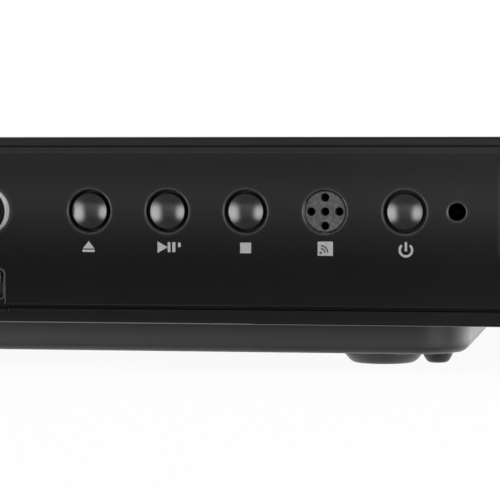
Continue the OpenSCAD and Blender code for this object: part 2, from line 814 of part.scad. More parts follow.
module bumpers() {
    bumper_y = foot_y - bumper_lead;
    color([0.12, 0.12, 0.12]) at_front() for (s = [-1, 1], y = [bumper_y, body_d - bumper_y])
        translate([s * (foot_x + bumper_step), y, 0.1])
            foot_shape(bumper_d / 2, bumper_d / 2 - bumper_draw, foot_h - 0.1, 0.6);
}

// Sheet cover with side vents and a rear lip
module cover_outline(inset) {
    half = body_w / 2 - inset;
    top = cover_top - inset;
    bend = cover_bend - inset;
    translate([-half, cover_z]) square([2 * half, top - bend - cover_z]);
    translate([-half + bend, cover_z]) square([2 * half - 2 * bend, top - cover_z]);
    for (s = [-1, 1]) translate([s * (half - bend), top - bend]) circle(bend);
}

module top_cover() {
    color([0.07, 0.07, 0.07]) at_front() difference() {
        union() {
            difference() {
                extrude_y(bezel_depth + 0.2, body_d) cover_outline(0);
                extrude_y(bezel_depth - 1, body_d + 1) cover_outline(cover_t);
                block(-inner_w / 2, inner_w / 2, bezel_depth - 1, body_d + 1, cover_z - 1, cover_z + 1);
            }
            block(-body_w / 2 + 5, body_w / 2 - 5, body_d - cover_t, body_d, cover_top - 9, cover_top - 0.5);
        }
        for (s = [-1, 1], i = [0:side_vent_n - 1]) translate([0, side_vent_y + side_vent_pitch * i, 0])
            extrude_x(s * body_w / 2 - 2, s * body_w / 2 + 2) translate([0, cover_top - 13])
                round_rect(side_vent_w, side_vent_h, side_vent_w / 2 - 0.01);
        for (s = [-1, 1], y = side_screw_ys) translate([0, y, side_screw_z])
            rod_x(shank_r + 0.3, s * body_w / 2 - 2, s * body_w / 2 + 2);
        for (x = rear_screw_xs) translate([x, 0, rear_screw_z]) rod_y(shank_r + 0.3, body_d - 2, body_d + 1);
    }
}

module rear_panel() {
    color([0.1, 0.1, 0.1]) at_front() difference() {
        block(-inner_w / 2 + 0.3, inner_w / 2 - 0.3, rear_in, rear_in + rear_t, cover_z,
              cover_top - cover_t - 0.3);
        for (s = [-1, 1]) translate([s * (inner_w / 2 + 1), rear_in - 1, cover_top]) rotate([0, 45, 0])
            cube([5.4, 4 + rear_t, 5.4], center = true);
        for (x = rca_xs) translate([x, 0, rca_z]) rod_y(rca_neck_r + seat_gap, rear_in - 1, body_d);
        translate([hdmi_x, 0, hdmi_z]) extrude_y(rear_in - 1, body_d)
            round_rect(hdmi_w + 0.4, hdmi_h + 0.4, 1);
        translate([mains_x, 0, mains_z]) extrude_y(rear_in - 1, body_d)
            round_rect(mains_w + 0.4, mains_h + 0.4, 2);
        for (x = rear_screw_xs) translate([x, 0, rear_screw_z])
            rod_y(shank_r + seat_gap, rear_in - 1, body_d);
        for (i = [0:rear_vent_n - 1])
            translate([-inner_w / 2 + rear_vent_x + rear_vent_pitch * i, 0, cover_z + 15])
                extrude_y(rear_in - 1, body_d) round_rect(rear_vent_w, rear_vent_h, rear_vent_w / 2 - 0.01);
    }
}

module screw_y(y0, length) {
    difference() {
        union() {
            rod_y(head_r, y0, y0 + head_t);
            rod_y(shank_r, y0 - length, y0 + 0.2);
        }
        for (a = [0, 90]) rotate([0, a, 0]) block(-0.35, 0.35, y0 + 0.7, y0 + head_t + 1, -1.6, 1.6);
    }
}

module cover_screws() {
    color([0.3, 0.3, 0.3]) at_front() {
        for (x = rear_screw_xs) translate([x, 0, rear_screw_z]) screw_y(body_d, 6);
        for (s = [-1, 1], y = side_screw_ys) translate([s * body_w / 2, y, side_screw_z])
            rotate([0, 0, -90 * s]) screw_y(0, 6);
    }
}

module screw_z(z0, length) {
    difference() {
        union() {
            rod_z(head_r, z0, z0 + head_t);
            rod_z(shank_r, z0 - length, z0 + 0.2);
        }
        for (a = [0, 90]) rotate([0, 0, a]) block(-0.35, 0.35, -1.6, 1.6, z0 + 0.7, z0 + head_t + 1);
    }
}

module inner_screws() {
    color([0.6, 0.6, 0.58]) at_front() {
        for (p = concat(main_boss, power_boss)) translate(p) screw_z(pcb_top, board_t + 3.5);
        translate([loader_x, 0, 0]) for (p = loader_boss) translate(p) screw_z(frame_z0 + 3, 4.2);
        for (x = post_xs, z = post_zs) translate([x, 0, z]) screw_y(board_y + board_t, 5);
    }
}

// Circuit boards and what stands on them
module main_board() {
    color([0.08, 0.3, 0.14]) at_front() difference() {
        block(main_x0, main_x1, main_y0, main_y1, pcb_z, pcb_top);
        for (p = main_boss) translate(p) rod_z(shank_r + seat_gap, pcb_z - 1, pcb_top + 1);
    }
}

module power_board() {
    color([0.45, 0.33, 0.15]) at_front() difference() {
        block(power_x0, power_x1, power_y0, power_y1, pcb_z, pcb_top);
        for (p = power_boss) translate(p) rod_z(shank_r + seat_gap, pcb_z - 1, pcb_top + 1);
    }
}

module board_chips() {
    mid = (main_x0 + main_x1) / 2;
    color([0.06, 0.06, 0.06]) at_front() {
        for (c = chips) translate([mid + c[0], main_y0 + c[1], pcb_top])
            block(-c[2] / 2, c[2] / 2, 0, c[3], 0, c[4]);
    }
}

module transformer() {
    mid = (power_x0 + power_x1) / 2;
    color([0.75, 0.6, 0.25]) at_front() translate([mid, power_y0 + core_y, pcb_top]) union() {
        block(-core_half, core_half, 0, 22, 0, 3);
        block(-bobbin_half, bobbin_half, 2, 20, 2, bobbin_h);
        block(-core_half, core_half, 6, 16, 2, core_h);
    }
}

module capacitors() {
    mid = (power_x0 + power_x1) / 2;
    color([0.15, 0.15, 0.3]) at_front() {
        for (c = cans) translate([mid + c[0], power_y0 + c[1], 0]) rod_z(c[2], pcb_top, pcb_top + c[3]);
        for (x = [main_x0 + 8, main_x1 - 8]) translate([x, main_y0 + 90, 0])
            rod_z(small_can_r, pcb_top, pcb_top + small_can_h);
    }
}

module ribbon_cable() {
    y0 = board_y + board_t;
    z0 = board_lo + 6;
    x1 = stop_x - ribbon_right;
    color([0.85, 0.85, 0.82]) at_front() extrude_x(x1 - ribbon_w, x1) polygon([[y0, z0], [y0 + 14, z0],
        [main_y0 + 3, pcb_top], [main_y0 + 14, pcb_top], [main_y0 + 14, pcb_top + ribbon_t],
        [main_y0 + 3.2, pcb_top + ribbon_t], [y0 + 14.2, z0 + ribbon_t], [y0, z0 + ribbon_t]]);
}

// Rear sockets
module rca_block() {
    color([0.08, 0.08, 0.08]) at_front()
        block(rca_x0 - 7, rca_x0 + 2 * rca_pitch + 7, rear_in - rca_depth, rear_in, pcb_top, rca_z + 6.5);
}

module rca_sleeves() {
    color([0.75, 0.75, 0.72]) at_front() for (x = rca_xs) translate([x, 0, rca_z]) difference() {
        union() {
            rod_y(rca_neck_r, rear_in, rear_in + rear_t + 0.5);
            rod_y(rca_r, rear_in + rear_t + seat_gap, body_d + jack_proud);
        }
        rod_y(rca_bore_r, rear_in - 1, body_d + jack_proud + 1);
    }
}

module rca_insert(x) {
    at_front() translate([x, 0, rca_z]) difference() {
        rod_y(rca_bore_r - seat_gap, rear_in, body_d + jack_proud - 0.8);
        rod_y(1.6, rear_in + 1, body_d + jack_proud + 1);
    }
}

module hdmi_socket() {
    color([0.75, 0.75, 0.75]) at_front() translate([hdmi_x, 0, hdmi_z]) difference() {
        extrude_y(rear_in - hdmi_depth, body_d) round_rect(hdmi_w, hdmi_h, 0.9);
        extrude_y(rear_in - hdmi_depth + 1, body_d + 1) round_rect(hdmi_w - 0.8, hdmi_h - 0.8, 0.5);
    }
}

module hdmi_tongue() {
    color([0.05, 0.05, 0.05]) at_front() translate([hdmi_x, 0, hdmi_z]) union() {
        block(-hdmi_tongue_half, hdmi_tongue_half, rear_in - hdmi_depth + 1, body_d - 1.5, 0.1, 1.3);
        block(-hdmi_tongue_half - 0.9, hdmi_tongue_half + 0.9, rear_in - hdmi_depth + 1,
              rear_in - hdmi_depth + 4, -hdmi_h / 2 + 0.4, 1.3);
    }
}

module mains_inlet() {
    color([0.06, 0.06, 0.06]) at_front() translate([mains_x, 0, mains_z]) difference() {
        union() {
            extrude_y(rear_in - 14, body_d + 0.6) round_rect(mains_w, mains_h, 1.8);
            block(-mains_w / 2 - 1.5, mains_w / 2 + 1.5, rear_in - 4, rear_in, -mains_z + pcb_top, 7);
        }
        extrude_y(rear_in - 10, body_d + 2) union() {
            translate([-mains_step, 0]) circle(mains_r);
            translate([mains_step, 0]) circle(mains_r);
            square([2 * mains_step, 2 * mains_r - 1], center = true);
        }
    }
}

module mains_pins() {
    color([0.8, 0.7, 0.4]) at_front() for (s = [-1, 1]) translate([mains_x + s * mains_step, 0, mains_z])
        rod_y(1.2, rear_in - 10, body_d - 1);
}

// Loader frame: side rails, cross beams, posts for the drive, brackets for the deck
module loader_frame() {
    color([0.16, 0.16, 0.17]) at_loader() difference() {
        union() {
            for (s = [0, 1]) mirror([s, 0, 0]) frame_side();
            block(-rail_in - 1, rail_in + 1, frame_y0, beam_back, frame_z0, frame_z0 + 3);
            block(motor_x - 14, gear_x + 8, frame_y0 + 1, beam_back, frame_z0 + 2, beam_top);
            block(-cam_bed_half, cam_bed_half, beam_back - 1, cam_y0 + cam_t + 0.6,
                  frame_z0, cam_z0 - slide_gap);
            block(-rail_in - 1, rail_in + 1, rear_beam_y, frame_y1, frame_z0, frame_z0 + 3);
            block(-rail_in + 14, rail_in - 14, rear_beam_y, frame_y1, frame_z0 + 2, rear_beam_top);
            for (s = [0, 1]) mirror([s, 0, 0])
                block(bracket_in, bracket_out, pivot_y - 5, rear_beam_y + 1, frame_z0, pivot_z + 4.5);
            drive_post(gear_x, gear_y, gear_z0 - 0.2);
            drive_post(pinion_x, pinion_y, pulley_z0 - 0.2);
        }
        for (s = [0, 1]) mirror([s, 0, 0]) translate([0, pivot_y, pivot_z])
            rod_x(pivot_r + shaft_gap, bracket_in - 1, bracket_out + 1);
        translate([motor_x, motor_y, 0]) rod_z(motor_r + seat_gap, frame_z0 + 1.5, beam_top + 1);
        for (p = loader_boss) translate(p) rod_z(shank_r + seat_gap, frame_z0 - 1, frame_z0 + 4);
    }
}

module frame_side() {
    block(rail_in, rail_foot, frame_y0, frame_y1, frame_z0, frame_z1);
    block(rail_in, rail_out, frame_y0, frame_y1, cover_z + 0.5, frame_z1);
    block(rail_in - 6, rail_in + 1, frame_y0 + 3, frame_y1, tray_z - slide_gap - 2.2, tray_z - slide_gap);
    block(rail_in - 3.5, rail_in + 1, frame_y0 + 3, frame_y0 + 38, tray_top + slide_gap, frame_z1);
    block(rail_in - 3.5, rail_in + 1, frame_y1 - 50, frame_y1, tray_top + slide_gap, frame_z1);
    block(rail_in, rail_out, disc_y - bridge_half - 2, disc_y + bridge_half + 2, frame_z1 - 1, bridge_z);
}

module drive_post(x, y, shoulder) {
    translate([x, y, 0]) {
        rod_z(drive_post_r, beam_top - 0.5, tray_z - 0.4);
        rod_z(3, beam_top - 0.5, shoulder);
    }
}

// Disc tray with two disc recesses, a slot for the pickup and a toothed rack below
function rack_tooth(k) = let (
    y = gear_y + k * PI * tooth_m,
    half = (PI * tooth_m / 2 - backlash / 2) / 2,
    wide = half + tooth_root * tan(20),
    slim = half - tooth_tip * tan(20))
    [[rack_x + tooth_root, y - wide], [rack_x - tooth_tip, y - slim],
     [rack_x - tooth_tip, y + slim], [rack_x + tooth_root, y + wide]];

module disc_tray() {
    last = ceil((tray_travel + 6) / (PI * tooth_m));
    rack_end = gear_y + (last + 1) * PI * tooth_m;
    color([0.13, 0.13, 0.13]) at_loader() difference() {
        union() {
            block(-tray_w / 2, tray_w / 2, tray_y0, tray_y1, tray_z, tray_top);
            extrude_z(tray_z - rack_h, tray_z + 0.5) polygon(concat(
                [[rack_x + 4.5, gear_y - 14]], [[rack_x + tooth_root, gear_y - 14]],
                [for (k = [-4:last]) each rack_tooth(k)],
                [[rack_x + tooth_root, rack_end], [rack_x + 4.5, rack_end]]));
        }
        translate([0, disc_y, 0]) rod_z(recess_r, tray_top - recess_depth, tray_top + 1);
        translate([0, disc_y, 0]) rod_z(small_recess_r, tray_top - small_recess_depth, tray_top + 1);
        translate([0, disc_y, 0]) rod_z(tray_hole_r, tray_z - 1, tray_top + 1);
        block(-tray_hole_r, tray_hole_r, disc_y, tray_slot_end, tray_z - 1, tray_top + 1);
    }
}

module tray_door() {
    color([0.05, 0.05, 0.05]) at_loader() translate([0, 0, door_z]) difference() {
        extrude_y(0, tray_y0) round_rect(door_w, door_h, 1.2);
        for (s = [-1, 1]) extrude_x(-door_w, door_w)
            polygon([[-1, s * (door_h / 2 + 1)], [-1, s * (door_h / 2 - 1.4)], [1.4, s * (door_h / 2 + 1)]]);
        for (s = [-1, 1]) extrude_z(-door_h, door_h)
            polygon([[s * (door_w / 2 + 1), -1], [s * (door_w / 2 - 1.4), -1], [s * (door_w / 2 + 1), 1.4]]);
    }
}

// Drawer drive
module loading_motor() {
    color([0.6, 0.6, 0.62]) at_loader() translate([motor_x, motor_y, 0]) difference() {
        rod_z(motor_r, frame_z0 + 1.5, pulley_z0 - 0.8);
        rod_z(motor_shaft_r + shaft_gap, frame_z0 + 3, pulley_z0 + 1);
    }
}

module motor_pulley() {
    color([0.85, 0.85, 0.8]) at_loader() translate([motor_x, motor_y, 0]) union() {
        rod_z(motor_shaft_r, frame_z0 + 3.5, pulley_z0 + 0.5);
        pulley_wheel(motor_pulley_r);
    }
}

module pulley_wheel(r) {
    rod_z(r + 1.4, pulley_z0, pulley_z0 + 0.8);
    rod_z(r, pulley_z0 + 0.5, pulley_z0 + pulley_t - 0.5);
    rod_z(r + 1.4, pulley_z0 + pulley_t - 0.8, pulley_z0 + pulley_t);
}

module belt_loop(grow) {
    hull() {
        translate([motor_x, motor_y]) circle(motor_pulley_r + belt_gap + grow, $fn = 32);
        translate([pinion_x, pinion_y]) circle(pulley_r + belt_gap + grow, $fn = 48);
    }
}

module drive_belt() {
    mid = pulley_z0 + pulley_t / 2;
    color([0.05, 0.05, 0.05]) at_loader() extrude_z(mid - belt_h / 2, mid + belt_h / 2) difference() {
        belt_loop(belt_t);
        belt_loop(0);
    }
}

module pulley_gear() {
    color([0.85, 0.85, 0.8]) at_loader() translate([pinion_x, pinion_y, 0]) difference() {
        union() {
            pulley_wheel(pulley_r);
            rod_z(4, pulley_z0 + pulley_t - 0.5, gear_z0 + 0.5);
            extrude_z(gear_z0, gear_z0 + gear_t) rotate([0, 0, pinion_dir + 180 + 180 / pinion_n])
                gear_shape(pinion_n);
        }
        rod_z(drive_post_r + shaft_gap, pulley_z0 - 1, gear_z0 + gear_t + 1);
    }
}

module tray_gear() {
    color([0.85, 0.85, 0.8]) at_loader() translate([gear_x, gear_y, 0]) difference() {
        extrude_z(gear_z0, gear_z0 + gear_t) rotate([0, 0, 180 / gear_n]) gear_shape(gear_n);
        rod_z(drive_post_r + shaft_gap, gear_z0 - 1, gear_z0 + gear_t + 1);
    }
}

// Cam slider: two sloping slots lift the pins of the deck
module cam_slider() {
    rise = slot_high - slot_low;
    long = sqrt(cam_travel * cam_travel + rise * rise);
    color([0.8, 0.8, 0.78]) at_loader() extrude_y(cam_y0, cam_y0 + cam_t) difference() {
        translate([-cam_left, cam_z0]) square([cam_len, cam_z1 - cam_z0]);
        for (x = [-lift_pin_x, lift_pin_x]) translate([x, slot_low]) {
            circle(slot_r);
            translate([-cam_travel, rise]) circle(slot_r);
            rotate([0, 0, 180 - atan2(rise, cam_travel)]) translate([0, -slot_r]) square([long, 2 * slot_r]);
        }
    }
}

// Lifting deck and the drive that it carries
module deck() {
    color([0.35, 0.35, 0.37]) on_deck() difference() {
        union() {
            block(-deck_half, deck_half, deck_y0, pivot_y + 3, deck_z0, deck_z1);
            block(-deck_lip_half, deck_lip_half, deck_y0, deck_y0 + 2.5, deck_z0, deck_z1 + 1.5);
            for (s = [-1, 1]) translate([s * lift_pin_x, 0, lift_pin_z])
                rod_y(lift_pin_r, cam_y0 - 0.2, deck_y0 + 1);
            translate([0, pivot_y, pivot_z]) rod_x(pivot_r, -bracket_out + 0.2, bracket_out - 0.2);
            translate([0, pivot_y, pivot_z]) rod_x(pivot_r + 1.5, -deck_half, deck_half);
            block(screw_x - 3, screw_x + 3, well_y0 - 2, well_y0 + 1, screw_z - 2.6, deck_z0 + 1);
        }
        block(-well_half, well_half, well_y0, well_y1, deck_z0 - 6, deck_z1 + 1);
        translate([0, disc_y, 0]) rod_z(spindle_motor_r + 0.7, deck_z0 - 1, deck_z1 + 1);
        translate([screw_x, 0, screw_z]) rod_y(screw_r + shaft_gap, well_y0 - 3, well_y0 + 2);
    }
}

module spindle_motor() {
    color([0.7, 0.7, 0.72]) on_deck() translate([0, disc_y, 0]) difference() {
        union() {
            rod_z(spindle_motor_r, deck_z0 - 3, motor_top);
            rod_z(spindle_flange_r, deck_z0 - 1.5, deck_z0);
        }
        rod_z(spindle_r + shaft_gap, deck_z0 - 2, motor_top + 1);
    }
}

module turntable() {
    color([0.12, 0.12, 0.12]) on_deck() translate([0, disc_y, 0]) union() {
        rod_z(spindle_r, deck_z0 - 1.5, seat_z - 3);
        rod_z(table_r, motor_top + 0.4, seat_z);
        rod_z(hub_r, seat_z - 0.5, seat_z + 1.2);
        translate([0, 0, seat_z + 1.2]) cylinder(r1 = hub_r, r2 = hub_r - 1.2, h = 1);
    }
}

module guide_rods() {
    color([0.8, 0.8, 0.82]) on_deck() for (s = [-1, 1]) translate([s * guide_x, 0, guide_z])
        rod_y(guide_r, well_y0, well_y1);
}

module pickup() {
    color([0.3, 0.3, 0.32]) on_deck() translate([0, sled_y, 0]) difference() {
        union() {
            block(-sled_half, sled_half, -sled_front, sled_back, sled_z0, sled_z1);
            block(screw_x - 3, -sled_half + 1, -nut_half, nut_half, screw_z - 2.4, deck_z0 - 0.6);
            block(-sled_half, -sled_half + 5, -nut_half, nut_half, screw_z - 2.4, sled_z0 + 1);
        }
        translate([-guide_x, 0, guide_z]) rod_y(guide_r + shaft_gap, -sled_front - 1, sled_back + 1);
        translate([0, 0, guide_z])
            block(guide_x - guide_r - 0.1, sled_half + 1, -sled_front - 1, sled_back + 1,
                  -guide_r - 0.1, guide_r + 0.1);
        translate([screw_x, 0, screw_z]) rod_y(screw_r + 0.1, -nut_half - 1, nut_half + 1);
    }
}

module pickup_lens() {
    color([0.5, 0.55, 0.7]) on_deck() translate([0, sled_y, 0]) union() {
        rod_z(3.2, sled_z1, seat_z - 2);
        intersection() {
            translate([0, 0, seat_z - 5.5]) sphere(4.2);
            rod_z(2, seat_z - 2.5, seat_z);
        }
    }
}

module lead_screw() {
    color([0.78, 0.78, 0.8]) on_deck() translate([screw_x, 0, screw_z])
        rod_y(screw_r, well_y0 - 2, sled_motor_y0 - seat_gap);
}

module sled_motor() {
    color([0.65, 0.65, 0.67]) on_deck() translate([screw_x, 0, screw_z])
        rod_y(sled_motor_r, sled_motor_y0, well_y1);
}

// Disc clamp
module clamp_bridge() {
    color([0.7, 0.7, 0.7]) at_loader() difference() {
        block(-rail_out, rail_out, disc_y - bridge_half, disc_y + bridge_half, bridge_z, bridge_z + bridge_t);
        translate([0, disc_y, 0]) rod_z(puck_neck_r + 0.5, bridge_z - 1, bridge_z + bridge_t + 1);
    }
}

module clamp_puck() {
    color([0.9, 0.9, 0.88]) at_loader() translate([0, disc_y, 0]) difference() {
        union() {
            rod_z(table_r, puck_z0, puck_z0 + 2.6);
            rod_z(puck_neck_r, puck_z0 + 2, bridge_z + bridge_t + 0.5);
            rod_z(puck_neck_r + 2.5, bridge_z + bridge_t + 0.2, puck_top);
        }
        rod_z(hub_r + 0.6, puck_z0 - 1, puck_z0 + 1.8);
    }
}

front_bezel();
front_panel();
button(eject_x);  // button_eject
button(play_x);  // button_play
button(stop_x);  // button_stop
button(power_x);  // button_power
plunger(eject_x);  // plunger_eject
plunger(play_x);  // plunger_play
plunger(stop_x);  // plunger_stop
plunger(power_x);  // plunger_power
tact_switches();
front_board();
ir_grille();
ir_receiver();
power_led();
mic_collar();
mic_jack();
usb_socket();
usb_tongue();
base();
top_cover();
rear_panel();
feet();
bumpers();
cover_screws();
inner_screws();
main_board();
board_chips();
power_board();
transformer();
capacitors();
ribbon_cable();
rca_block();
rca_sleeves();
color([0.9, 0.8, 0.1]) rca_insert(rca_xs[0]);  // rca_video
color([0.9, 0.9, 0.9]) rca_insert(rca_xs[1]);  // rca_left
color([0.8, 0.1, 0.1]) rca_insert(rca_xs[2]);  // rca_right
hdmi_socket();
hdmi_tongue();
mains_inlet();
mains_pins();
loader_frame();
disc_tray();
tray_door();
loading_motor();
motor_pulley();
drive_belt();
pulley_gear();
tray_gear();
cam_slider();
deck();
spindle_motor();
turntable();
guide_rods();
pickup();
pickup_lens();
lead_screw();
sled_motor();
clamp_bridge();
clamp_puck();
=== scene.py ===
import json
import math

import bmesh
import bpy
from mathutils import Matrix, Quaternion, Vector


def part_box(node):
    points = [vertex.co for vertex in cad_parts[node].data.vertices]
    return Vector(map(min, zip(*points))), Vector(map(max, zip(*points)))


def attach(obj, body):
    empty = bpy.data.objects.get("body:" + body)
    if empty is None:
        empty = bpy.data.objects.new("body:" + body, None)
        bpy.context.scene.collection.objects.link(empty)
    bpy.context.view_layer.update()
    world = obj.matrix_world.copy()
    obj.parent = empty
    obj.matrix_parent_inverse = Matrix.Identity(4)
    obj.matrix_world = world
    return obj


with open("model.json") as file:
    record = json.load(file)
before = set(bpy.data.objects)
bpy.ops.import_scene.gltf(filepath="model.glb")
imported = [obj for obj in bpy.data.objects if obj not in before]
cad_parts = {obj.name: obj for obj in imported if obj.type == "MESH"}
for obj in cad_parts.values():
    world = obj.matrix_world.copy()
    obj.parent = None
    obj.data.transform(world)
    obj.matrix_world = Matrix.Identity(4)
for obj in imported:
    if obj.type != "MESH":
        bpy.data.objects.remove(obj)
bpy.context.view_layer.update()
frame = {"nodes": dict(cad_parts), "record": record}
nodes = frame["nodes"]

MM = 0.001
PANEL_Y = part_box("front_panel")[0][1] / MM


# Camera: close to the right-hand end of the front, just above the upper edge
VIEW_X = 83.5
VIEW_YAW = math.radians(9.2)
VIEW_PITCH = math.radians(2.68)
VIEW_ROLL = math.radians(-0.1)
VIEW_DISTANCE = 470
VIEW_DEPTH = VIEW_DISTANCE * math.cos(VIEW_YAW)
VIEW_HEIGHT = 44
LENS = 187.9
SENSOR = 36
CLIP_NEAR = 0.01
CLIP_FAR = 100


def make_camera():
    data = bpy.data.cameras.new("camera")
    data.lens = LENS
    data.sensor_width = SENSOR
    data.clip_start = CLIP_NEAR
    data.clip_end = CLIP_FAR
    camera = bpy.data.objects.new("camera", data)
    bpy.context.scene.collection.objects.link(camera)
    camera.location = (
        (VIEW_X + VIEW_DISTANCE * math.sin(VIEW_YAW)) * MM,
        (PANEL_Y - VIEW_DEPTH) * MM,
        VIEW_HEIGHT * MM,
    )
    aim = Vector((-math.sin(VIEW_YAW), math.cos(VIEW_YAW), -math.tan(VIEW_PITCH)))
    turn = aim.to_track_quat("-Z", "Y") @ Quaternion((0, 0, 1), VIEW_ROLL)
    camera.rotation_euler = turn.to_euler()
    bpy.context.scene.camera = camera


# Patterns for the materials
NOISE_LOW = 0.3
NOISE_HIGH = 0.7
WAVE_RATE = 20
EVEN = (1, 1, 1)
MIX_SHARE = 0
MIX_FIRST = 6
MIX_SECOND = 7
MIX_COLOUR = 2
SHADED = 0.3
OPEN = 0.75
EDGE_TURNED = 0.82
EDGE_FLAT = 0.995
SOFT_END = 2


def grey(value):
    return (value, value, value)


class Paint:
    """A procedural material, built from patterns that are sized in millimetres.

    A pattern is a node with the name or number of one of its outputs.
    """

    def __init__(self, name):
        self.name = name
        self.material = bpy.data.materials.new(name)
        self.material.use_nodes = True
        self.tree = self.material.node_tree
        self.shader = self.tree.nodes["Principled BSDF"]
        self.coordinates = self.tree.nodes.new("ShaderNodeTexCoord")
        self.normal = None

    def link(self, source, output, target, socket):
        self.tree.links.new(source.outputs[output], target.inputs[socket])

    def set(self, **values):
        for name, value in values.items():
            self.shader.inputs[name.replace("_", " ")].default_value = value

    def feed(self, socket, pattern):
        self.link(*pattern, self.shader, socket)

    def noise(self, size, detail, stretch=EVEN):
        mapping = self.tree.nodes.new("ShaderNodeMapping")
        mapping.inputs["Scale"].default_value = stretch
        self.link(self.coordinates, "Object", mapping, "Vector")
        pattern = self.tree.nodes.new("ShaderNodeTexNoise")
        pattern.inputs["Scale"].default_value = 1 / (size * MM)
        pattern.inputs["Detail"].default_value = detail
        self.link(mapping, "Vector", pattern, "Vector")
        return pattern, "Fac"

    def cells(self, size, feature="F1"):
        pattern = self.tree.nodes.new("ShaderNodeTexVoronoi")
        pattern.feature = feature
        pattern.inputs["Scale"].default_value = 1 / (size * MM)
        self.link(self.coordinates, "Object", pattern, "Vector")
        return pattern, "Distance"

    def bands(self, size, direction, distortion=0.0):
        pattern = self.tree.nodes.new("ShaderNodeTexWave")
        pattern.bands_direction = direction
        pattern.inputs["Scale"].default_value = 2 * math.pi / (WAVE_RATE * size * MM)
        pattern.inputs["Distortion"].default_value = distortion
        self.link(self.coordinates, "Object", pattern, "Vector")
        return pattern, "Fac"

    def ramp(self, pattern, stops):
        node = self.tree.nodes.new("ShaderNodeValToRGB")
        elements = node.color_ramp.elements
        while len(elements) < len(stops):
            elements.new(1.0)
        for element, (place, colour) in zip(elements, stops):
            element.position = place
            element.color = (*colour, 1)
        self.link(*pattern, node, "Fac")
        return node, "Color"

    def patches(self, size, detail, dark, light):
        return self.ramp(self.noise(size, detail), [(NOISE_LOW, dark), (NOISE_HIGH, light)])

    def spread(self, pattern, low, high, start=NOISE_LOW, end=NOISE_HIGH):
        node = self.tree.nodes.new("ShaderNodeMapRange")
        node.inputs["From Min"].default_value = start
        node.inputs["From Max"].default_value = end
        node.inputs["To Min"].default_value = low
        node.inputs["To Max"].default_value = high
        self.link(*pattern, node, "Value")
        return node, "Result"

    def mixed(self, share, first, second):
        node = self.tree.nodes.new("ShaderNodeMix")
        node.data_type = "RGBA"
        self.link(*share, node, MIX_SHARE)
        self.link(*first, node, MIX_FIRST)
        self.link(*second, node, MIX_SECOND)
        return node, MIX_COLOUR

    def times(self, first, second):
        node = self.tree.nodes.new("ShaderNodeMath")
        node.operation = "MULTIPLY"
        self.link(*first, node, 0)
        self.link(*second, node, 1)
        return node, "Value"

    def dimmed(self, colour, share):
        node = self.tree.nodes.new("ShaderNodeVectorMath")
        node.operation = "SCALE"
        self.link(*colour, node, 0)
        self.link(*share, node, "Scale")
        return node, "Vector"

    def soften(self, radius):
        """Rounds the shading over sharp edges, as a moulding or a pressed sheet has it."""
        bevel = self.tree.nodes.new("ShaderNodeBevel")
        bevel.samples = 4
        bevel.inputs["Radius"].default_value = radius * MM
        self.normal = bevel
        self.link(bevel, "Normal", self.shader, "Normal")

    def relief(self, pattern, height, strength=1.0):
        bump = self.tree.nodes.new("ShaderNodeBump")
        bump.inputs["Strength"].default_value = strength
        bump.inputs["Distance"].default_value = height * MM
        self.link(*pattern, bump, "Height")
        if self.normal is not None:
            self.link(self.normal, "Normal", bump, "Normal")
        self.normal = bump
        self.link(bump, "Normal", self.shader, "Normal")

    def facing(self, axis):
        geometry = self.tree.nodes.new("ShaderNodeNewGeometry")
        parts = self.tree.nodes.new("ShaderNodeSeparateXYZ")
        self.link(geometry, "Normal", parts, "Vector")
        return parts, axis

    def painted_gap_shade(self, reach, least):
        """Painted shade: 1 on open faces, and down to the least share in a gap about as wide as the reach.
        """
        light = self.tree.nodes.new("ShaderNodeAmbientOcclusion")
        light.samples = 8
        light.inputs["Distance"].default_value = reach * MM
        return self.spread((light, "AO"), least, 1.0, SHADED, OPEN)

    def edges(self, radius):
        """1 along sharp edges and 0 a radius away from them."""
        bevel = self.tree.nodes.new("ShaderNodeBevel")
        bevel.samples = 8
        bevel.inputs["Radius"].default_value = radius * MM
        flat = self.tree.nodes.new("ShaderNodeNewGeometry")
        match = self.tree.nodes.new("ShaderNodeVectorMath")
        match.operation = "DOT_PRODUCT"
        self.link(bevel, "Normal", match, 0)
        self.link(flat, "Normal", match, 1)
        return self.spread((match, "Value"), 1.0, 0.0, EDGE_TURNED, EDGE_FLAT)

    def within(self, low, high):
        """1 between two heights in millimetres, with soft ends."""
        parts = self.tree.nodes.new("ShaderNodeSeparateXYZ")
        self.link(self.coordinates, "Object", parts, "Vector")
        above = self.spread((parts, "Z"), 0.0, 1.0, (low - SOFT_END) * MM, low * MM)
        below = self.spread((parts, "Z"), 1.0, 0.0, high * MM, (high + SOFT_END) * MM)
        return self.times(above, below)


# Kinds of material
# Size of the random patches in the painted edge highlights.
HIGHLIGHT_PATCH = 0.8
METAL_PATCH = 9
METAL_EDGE = 0.08
TRACK_SIZE = 4.5
SOLDER_SIZE = 2.6


